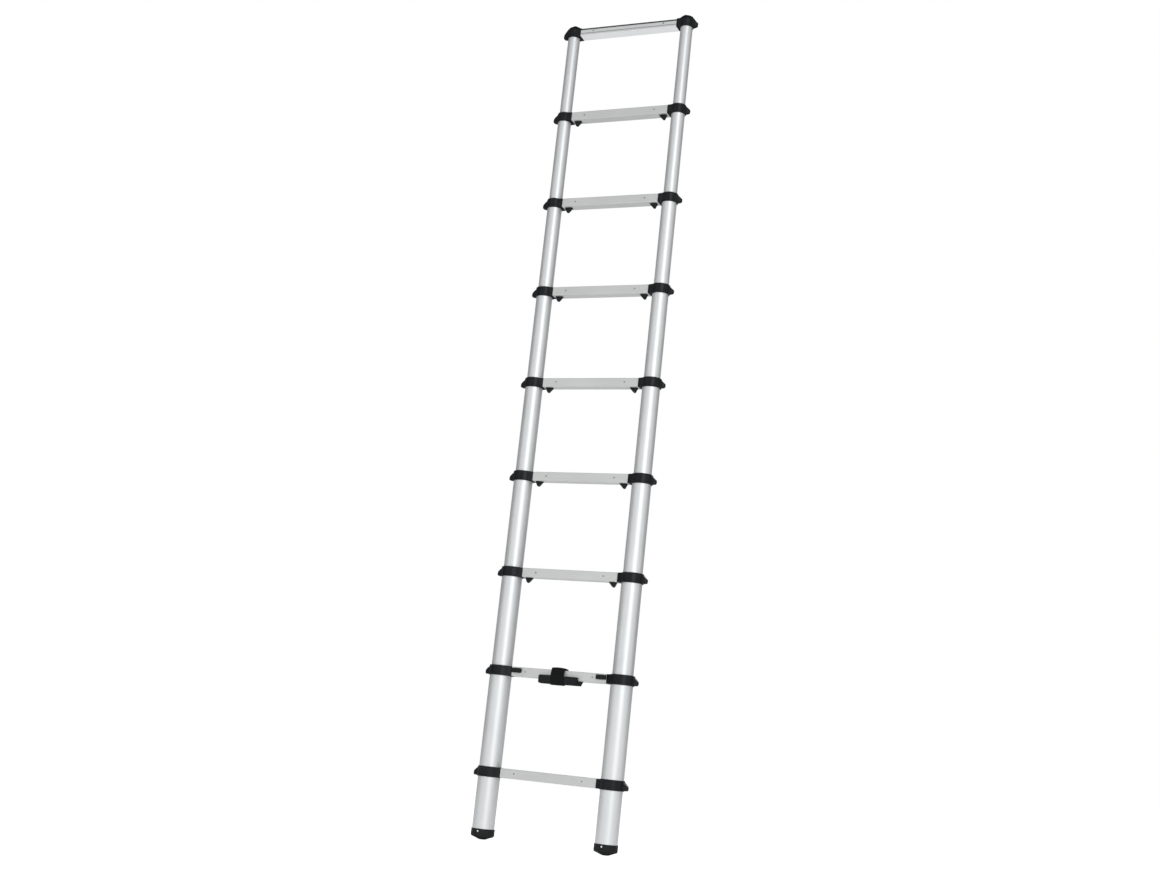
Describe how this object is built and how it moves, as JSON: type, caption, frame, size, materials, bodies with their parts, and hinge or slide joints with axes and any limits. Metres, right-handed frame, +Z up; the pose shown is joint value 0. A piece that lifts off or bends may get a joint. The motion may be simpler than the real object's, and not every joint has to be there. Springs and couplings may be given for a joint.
{
  "type": "telescopic ladder",
  "caption": "Telescopic aluminium ladder with nested tube rails, hollow rungs in plastic collars, release slides and rubber feet, pulled out to full height.",
  "frame": {"origin": "middle of the left foot's sole, on the left rail's axis", "axes": "+X along the rungs to the right foot, +Z up the rails, -Y the side that a climber faces"},
  "size_m": [0.4814, 0.0714, 2.5365],
  "materials": {
    "tube_aluminium": "satin anodised",
    "rung_aluminium": "satin extruded",
    "black_plastic": "satin moulded",
    "foot_rubber": "matt moulded",
    "strap_webbing": "woven webbing"
  },
  "bodies": {
    "base": {"foot_left": "foot_rubber", "foot_right": "foot_rubber", "tubes_1": "tube_aluminium", "collars_1": "black_plastic", "rung_1": "rung_aluminium", "collars_2": "black_plastic", "rung_2": "rung_aluminium", "strap_band": "strap_webbing", "folded_strap": "strap_webbing"},
    "section_2": {"tubes_2": "tube_aluminium", "collars_3": "black_plastic", "rung_3": "rung_aluminium"},
    "section_3": {"tubes_3": "tube_aluminium", "collars_4": "black_plastic", "rung_4": "rung_aluminium"},
    "section_4": {"tubes_4": "tube_aluminium", "collars_5": "black_plastic", "rung_5": "rung_aluminium"},
    "section_5": {"tubes_5": "tube_aluminium", "collars_6": "black_plastic", "rung_6": "rung_aluminium"},
    "section_6": {"tubes_6": "tube_aluminium", "collars_7": "black_plastic", "rung_7": "rung_aluminium"},
    "section_7": {"tubes_7": "tube_aluminium", "collars_8": "black_plastic", "rung_8": "rung_aluminium"},
    "section_8": {"tubes_8": "tube_aluminium", "top_caps": "black_plastic", "rung_9": "rung_aluminium"},
    "trigger_3": {"triggers_3": "black_plastic"},
    "trigger_4": {"triggers_4": "black_plastic"},
    "trigger_5": {"triggers_5": "black_plastic"},
    "trigger_6": {"triggers_6": "black_plastic"},
    "trigger_7": {"triggers_7": "black_plastic"},
    "trigger_8": {"triggers_8": "black_plastic"},
    "release_left": {"release_slide_left": "black_plastic"},
    "release_right": {"release_slide_right": "black_plastic"}
  },
  "joints": [
    {"name": "section_2_slide", "type": "slide", "parent": "base", "child": "section_2", "axis": [0, 0, 1], "range_m": [-0.254, 0]},
    {"name": "section_3_slide", "type": "slide", "parent": "section_2", "child": "section_3", "axis": [0, 0, 1], "range_m": [-0.254, 0]},
    {"name": "section_4_slide", "type": "slide", "parent": "section_3", "child": "section_4", "axis": [0, 0, 1], "range_m": [-0.254, 0]},
    {"name": "section_5_slide", "type": "slide", "parent": "section_4", "child": "section_5", "axis": [0, 0, 1], "range_m": [-0.254, 0]},
    {"name": "section_6_slide", "type": "slide", "parent": "section_5", "child": "section_6", "axis": [0, 0, 1], "range_m": [-0.254, 0]},
    {"name": "section_7_slide", "type": "slide", "parent": "section_6", "child": "section_7", "axis": [0, 0, 1], "range_m": [-0.254, 0]},
    {"name": "section_8_slide", "type": "slide", "parent": "section_7", "child": "section_8", "axis": [0, 0, 1], "range_m": [-0.254, 0]},
    {"name": "trigger_3_press", "type": "slide", "parent": "section_2", "child": "trigger_3", "axis": [0, 0, 1], "range_m": [0, 0.0117]},
    {"name": "trigger_4_press", "type": "slide", "parent": "section_3", "child": "trigger_4", "axis": [0, 0, 1], "range_m": [0, 0.0117]},
    {"name": "trigger_5_press", "type": "slide", "parent": "section_4", "child": "trigger_5", "axis": [0, 0, 1], "range_m": [0, 0.0117]},
    {"name": "trigger_6_press", "type": "slide", "parent": "section_5", "child": "trigger_6", "axis": [0, 0, 1], "range_m": [0, 0.0117]},
    {"name": "trigger_7_press", "type": "slide", "parent": "section_6", "child": "trigger_7", "axis": [0, 0, 1], "range_m": [0, 0.0117]},
    {"name": "trigger_8_press", "type": "slide", "parent": "section_7", "child": "trigger_8", "axis": [0, 0, 1], "range_m": [0, 0.0117]},
    {"name": "release_left_slide", "type": "slide", "parent": "base", "child": "release_left", "axis": [1, 0, 0], "range_m": [0, 0.008], "stiffness_N_per_m": 400, "springref_m": -0.005},
    {"name": "release_right_slide", "type": "slide", "parent": "base", "child": "release_right", "axis": [-1, 0, 0], "range_m": [0, 0.008], "stiffness_N_per_m": 400, "springref_m": -0.005}
  ],
  "couplings": [
    {"joint": "trigger_3_press", "follows": "section_2_slide", "ratio": -0.046},
    {"joint": "trigger_4_press", "follows": "section_3_slide", "ratio": -0.046},
    {"joint": "trigger_5_press", "follows": "section_4_slide", "ratio": -0.046},
    {"joint": "trigger_6_press", "follows": "section_5_slide", "ratio": -0.046},
    {"joint": "trigger_7_press", "follows": "section_6_slide", "ratio": -0.046},
    {"joint": "trigger_8_press", "follows": "section_7_slide", "ratio": -0.046}
  ]
}
